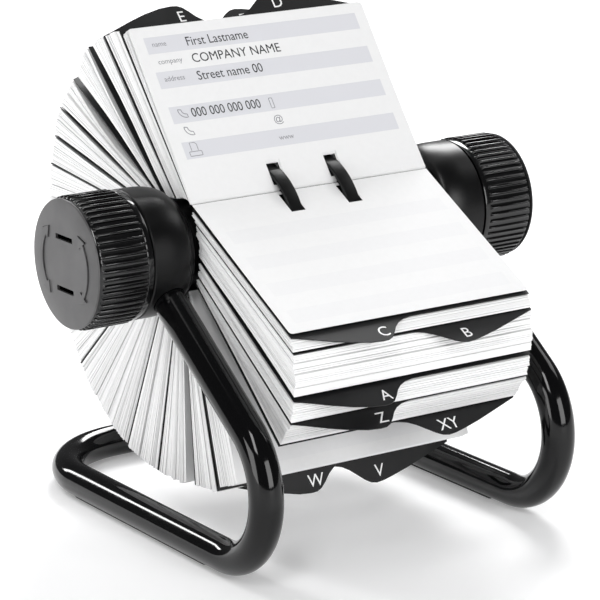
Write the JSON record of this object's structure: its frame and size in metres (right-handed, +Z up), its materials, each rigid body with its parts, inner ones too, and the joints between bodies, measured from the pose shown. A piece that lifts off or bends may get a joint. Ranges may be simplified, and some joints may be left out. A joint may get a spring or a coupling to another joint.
{
  "type": "rotary card file",
  "caption": "Desktop rotary card file: index cards and lettered dividers hooked on a two-ring wheel, turned by ribbed knobs and carried by a bent tube stand.",
  "frame": {"origin": "on the floor, under the centre of the object's bounding box", "axes": "+X along the axle, towards the right-hand knob; +Y to the back; +Z up"},
  "size_m": [0.1942, 0.1902, 0.1908],
  "materials": {
    "gloss_black_tube": "gloss",
    "satin_black_housing": "satin",
    "gloss_black_knob": "gloss",
    "grey_disc": "satin",
    "black_rubber": "matte",
    "bright_steel": "satin",
    "natural_nylon": "satin",
    "white_card": "matte",
    "black_divider": "satin"
  },
  "bodies": {
    "stand": {"tube_frame": "gloss_black_tube", "left_floor_glide": "black_rubber", "right_floor_glide": "black_rubber", "left_bearing_housing": "satin_black_housing", "right_bearing_housing": "satin_black_housing", "left_axle_bush": "natural_nylon", "right_axle_bush": "natural_nylon"},
    "card_wheel": {"axle": "bright_steel", "core_drum": "satin_black_housing", "left_card_ring": "satin_black_housing", "right_card_ring": "satin_black_housing", "left_knob": "gloss_black_knob", "right_knob": "gloss_black_knob", "left_knob_screw": "bright_steel", "right_knob_screw": "bright_steel", "left_friction_washer": "black_rubber", "right_friction_washer": "black_rubber", "left_knob_disc": "grey_disc", "right_knob_disc": "grey_disc", "facing_card": "white_card", "cards_C": "white_card", "divider_A": "black_divider", "divider_B": "black_divider", "divider_C": "black_divider", "divider_D": "black_divider", "divider_E": "black_divider", "divider_F": "black_divider", "divider_G": "black_divider", "divider_H": "black_divider", "divider_IJ": "black_divider", "divider_KL": "black_divider", "divider_M": "black_divider", "divider_NO": "black_divider", "divider_PQ": "black_divider", "divider_R": "black_divider", "divider_S": "black_divider", "divider_TU": "black_divider", "divider_V": "black_divider", "divider_W": "black_divider", "divider_XY": "black_divider", "divider_Z": "black_divider", "cards_A": "white_card", "cards_B": "white_card", "cards_D": "white_card", "cards_E": "white_card", "cards_F": "white_card", "cards_G": "white_card", "cards_H": "white_card", "cards_IJ": "white_card", "cards_KL": "white_card", "cards_M": "white_card", "cards_NO": "white_card", "cards_PQ": "white_card", "cards_R": "white_card", "cards_S": "white_card", "cards_TU": "white_card", "cards_W": "white_card", "cards_XY": "white_card", "cards_Z": "white_card"},
    "contact_card": {"contact_card": "white_card"}
  },
  "joints": [
    {"name": "wheel_spin", "type": "hinge", "parent": "stand", "child": "card_wheel", "pos_m": [0, -0.0066, 0.1083], "axis": [1, 0, 0], "continuous": true},
    {"name": "card_flip", "type": "hinge", "parent": "card_wheel", "child": "contact_card", "pos_m": [0, -0.0204, 0.12764], "axis": [1, 0, 0], "range_deg": [0, 148]}
  ]
}
